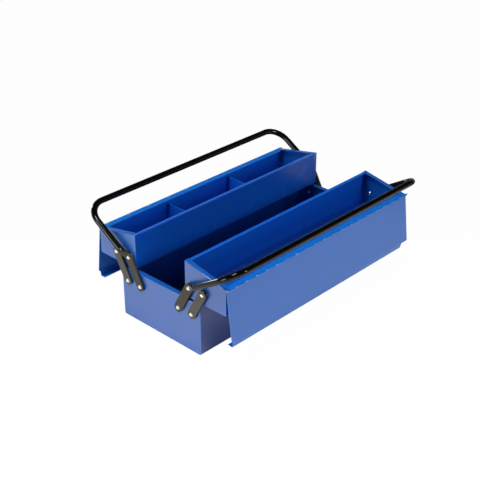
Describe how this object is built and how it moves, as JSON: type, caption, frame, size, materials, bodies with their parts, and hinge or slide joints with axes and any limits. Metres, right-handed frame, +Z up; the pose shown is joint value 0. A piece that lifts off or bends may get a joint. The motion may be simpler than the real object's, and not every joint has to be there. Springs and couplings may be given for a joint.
{
  "type": "cantilever tool box",
  "caption": "Open portable steel tool box: a deep base, swing-out trays on parallel links, hinged lids and folding rod handles.",
  "frame": {"origin": "centre of the underside of the base", "axes": "+X along the box from the near end to the far end, +Y across it towards the divided tray, +Z up"},
  "size_m": [0.4524, 0.3248, 0.1715],
  "materials": {
    "base_enamel": "satin blue stoving enamel on 0.8 mm steel sheet",
    "tray_enamel": "satin blue stoving enamel on 0.8 mm steel sheet",
    "lid_enamel": "satin blue stoving enamel on 0.8 mm steel sheet",
    "divider_enamel": "satin blue stoving enamel on 0.8 mm steel sheet",
    "handle_lacquer": "gloss black lacquer on steel rod",
    "link_lacquer": "dark olive grey lacquer on steel strip, semi-gloss",
    "bright_steel": "bright zinc-plated rivets and washers",
    "hinge_wire": "drawn steel wire"
  },
  "bodies": {
    "base": {"base_tub": "base_enamel", "base_end_near": "base_enamel", "base_end_far": "base_enamel", "base_rivets": "bright_steel", "base_spacers": "bright_steel"},
    "left_handle": {"left_handle": "handle_lacquer"},
    "left_strap_near": {"left_strap_near": "link_lacquer"},
    "left_strap_far": {"left_strap_far": "link_lacquer"},
    "left_tray": {"left_tray": "tray_enamel", "left_end_near": "tray_enamel", "left_end_far": "tray_enamel", "left_divider_near": "divider_enamel", "left_divider_far": "divider_enamel", "left_tray_rivets": "bright_steel", "left_tray_spacers": "bright_steel", "left_hinge_leaf": "lid_enamel", "left_hinge_wire": "hinge_wire"},
    "left_lid": {"left_lid": "lid_enamel"},
    "right_handle": {"right_handle": "handle_lacquer"},
    "right_strap_near": {"right_strap_near": "link_lacquer"},
    "right_strap_far": {"right_strap_far": "link_lacquer"},
    "right_tray": {"right_tray": "tray_enamel", "right_end_near": "tray_enamel", "right_end_far": "tray_enamel", "right_tray_rivets": "bright_steel", "right_tray_spacers": "bright_steel", "right_hinge_leaf": "lid_enamel", "right_hinge_wire": "hinge_wire"},
    "right_lid": {"right_lid": "lid_enamel"}
  },
  "joints": [
    {"name": "left_handle_swing", "type": "hinge", "parent": "base", "child": "left_handle", "pos_m": [0, 0.0423, 0.0677], "axis": [1, 0, 0], "range_deg": [0, 61.2]},
    {"name": "left_tray_level", "type": "hinge", "parent": "left_handle", "child": "left_tray", "pos_m": [0, 0.06591, 0.11064], "axis": [-1, 0, 0], "range_deg": [0, 61.2]},
    {"name": "left_strap_near_swing", "type": "hinge", "parent": "base", "child": "left_strap_near", "pos_m": [-0.2173, 0.0704, 0.0677], "axis": [1, 0, 0], "range_deg": [0, 61.2]},
    {"name": "left_strap_far_swing", "type": "hinge", "parent": "base", "child": "left_strap_far", "pos_m": [0.2173, 0.0704, 0.0677], "axis": [1, 0, 0], "range_deg": [0, 61.2]},
    {"name": "left_lid_swing", "type": "hinge", "parent": "left_tray", "child": "left_lid", "pos_m": [0, 0.13951, 0.13327], "axis": [1, 0, 0], "range_deg": [0, 251.5]},
    {"name": "right_handle_swing", "type": "hinge", "parent": "base", "child": "right_handle", "pos_m": [0, -0.0423, 0.0677], "axis": [-1, 0, 0], "range_deg": [0, 61.2]},
    {"name": "right_tray_level", "type": "hinge", "parent": "right_handle", "child": "right_tray", "pos_m": [0, -0.06591, 0.11064], "axis": [1, 0, 0], "range_deg": [0, 61.2]},
    {"name": "right_strap_near_swing", "type": "hinge", "parent": "base", "child": "right_strap_near", "pos_m": [-0.2173, -0.0704, 0.0677], "axis": [-1, 0, 0], "range_deg": [0, 61.2]},
    {"name": "right_strap_far_swing", "type": "hinge", "parent": "base", "child": "right_strap_far", "pos_m": [0.2173, -0.0704, 0.0677], "axis": [-1, 0, 0], "range_deg": [0, 61.2]},
    {"name": "right_lid_swing", "type": "hinge", "parent": "right_tray", "child": "right_lid", "pos_m": [0, -0.13951, 0.13327], "axis": [-1, 0, 0], "range_deg": [0, 251.5]}
  ],
  "couplings": [
    {"joint": "left_tray_level", "follows": "left_handle_swing", "ratio": 1},
    {"joint": "left_strap_near_swing", "follows": "left_handle_swing", "ratio": 1},
    {"joint": "left_strap_far_swing", "follows": "left_handle_swing", "ratio": 1},
    {"joint": "left_lid_swing", "follows": "left_handle_swing", "ratio": 4.1093},
    {"joint": "right_tray_level", "follows": "right_handle_swing", "ratio": 1},
    {"joint": "right_strap_near_swing", "follows": "right_handle_swing", "ratio": 1},
    {"joint": "right_strap_far_swing", "follows": "right_handle_swing", "ratio": 1},
    {"joint": "right_lid_swing", "follows": "right_handle_swing", "ratio": 4.1093}
  ]
}
